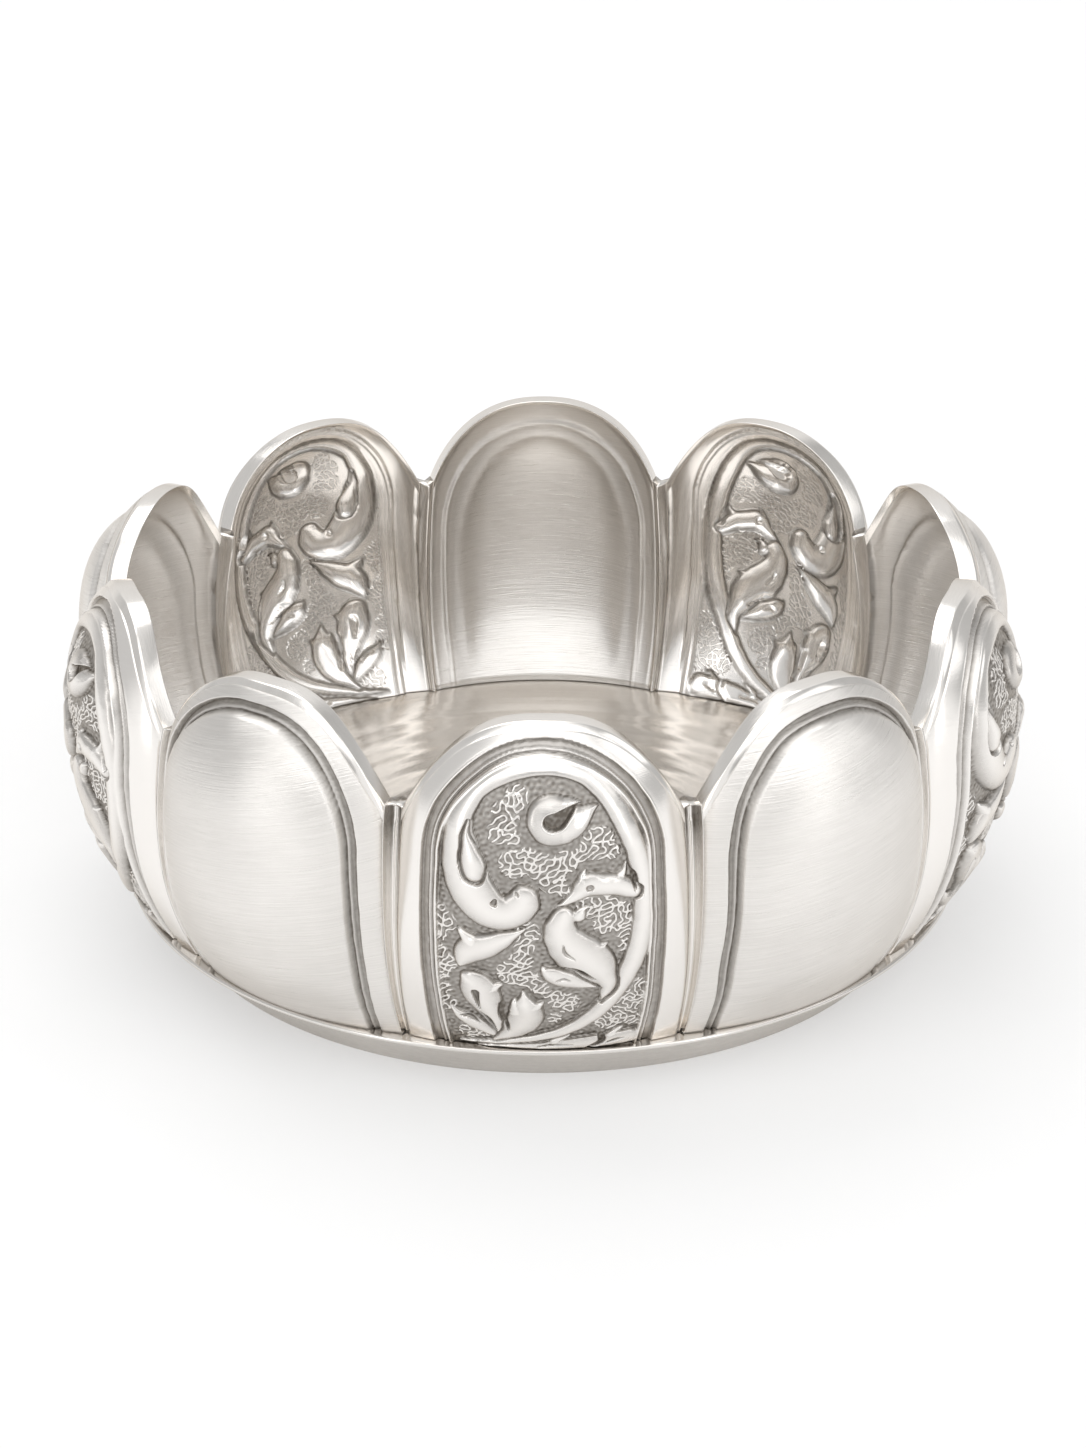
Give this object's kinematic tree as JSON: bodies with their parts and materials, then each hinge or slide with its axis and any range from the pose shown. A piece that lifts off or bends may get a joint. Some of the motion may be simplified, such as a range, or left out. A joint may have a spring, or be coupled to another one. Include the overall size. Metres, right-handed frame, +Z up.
{
  "type": "sweet bowl",
  "caption": "Round silver sweet bowl with a scalloped wall of arched panels, chased and plain in turn, on a low conical foot ring.",
  "frame": {"origin": "centre of the foot ring's flat underside, on the bowl's axis", "axes": "+Z up along the bowl's axis; the middle of the first chased panel faces -Y"},
  "size_m": [0.1588, 0.1624, 0.0646],
  "materials": {
    "polished_silver": "polished silver, soft highlights",
    "brushed_silver": "fine brushed silver",
    "chased_silver": "chased silver with darkened ground"
  },
  "bodies": {
    "root": {"foot_ring": "brushed_silver", "bowl_floor": "brushed_silver", "chased_panel_1": "chased_silver", "chased_panel_2": "chased_silver", "chased_panel_3": "chased_silver", "chased_panel_4": "chased_silver", "chased_panel_5": "chased_silver", "plain_panel_1": "brushed_silver", "plain_panel_2": "brushed_silver", "plain_panel_3": "brushed_silver", "plain_panel_4": "brushed_silver", "plain_panel_5": "brushed_silver", "rim_wire_1": "polished_silver", "rim_wire_2": "polished_silver", "rim_wire_3": "polished_silver", "rim_wire_4": "polished_silver", "rim_wire_5": "polished_silver", "rim_wire_6": "polished_silver", "rim_wire_7": "polished_silver", "rim_wire_8": "polished_silver", "rim_wire_9": "polished_silver", "rim_wire_10": "polished_silver", "seam_rib_1": "polished_silver", "seam_rib_2": "polished_silver", "seam_rib_3": "polished_silver", "seam_rib_4": "polished_silver", "seam_rib_5": "polished_silver", "seam_rib_6": "polished_silver", "seam_rib_7": "polished_silver", "seam_rib_8": "polished_silver", "seam_rib_9": "polished_silver", "seam_rib_10": "polished_silver"}
  },
  "joints": []
}
